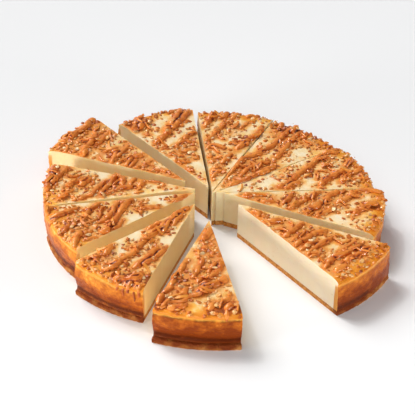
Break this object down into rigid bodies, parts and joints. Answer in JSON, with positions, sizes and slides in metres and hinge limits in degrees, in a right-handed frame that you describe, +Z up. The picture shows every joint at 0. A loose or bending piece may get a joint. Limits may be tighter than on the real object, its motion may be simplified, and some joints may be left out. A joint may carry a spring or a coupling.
{
  "type": "baked cheesecake",
  "caption": "Round baked cheesecake on a thin biscuit base, sliced into wedges with one taken, topped with caramel sauce strokes and crushed toffee and nut pieces.",
  "frame": {"origin": "middle of the footprint of all the portions, on the surface that the biscuit bases stand on", "axes": "+Z up; the viewer of the picture stands at -Y, with +X to their right"},
  "size_m": [0.3071, 0.3326, 0.0404],
  "materials": {
    "baked_cream": "soft, slightly moist baked cream with a browned, glossy crust and caramel sauce",
    "biscuit_base": "dry, crumbly pressed biscuit"
  },
  "bodies": {
    "root": {"base_01": "biscuit_base", "base_02": "biscuit_base", "base_03": "biscuit_base", "base_04": "biscuit_base", "base_05": "biscuit_base", "base_06": "biscuit_base", "base_07": "biscuit_base", "base_09": "biscuit_base", "base_10": "biscuit_base", "base_11": "biscuit_base", "base_12": "biscuit_base", "filling_01": "baked_cream", "filling_02": "baked_cream", "filling_03": "baked_cream", "filling_04": "baked_cream", "filling_05": "baked_cream", "filling_06": "baked_cream", "filling_07": "baked_cream", "filling_09": "baked_cream", "filling_10": "baked_cream", "filling_11": "baked_cream", "filling_12": "baked_cream"}
  },
  "joints": []
}
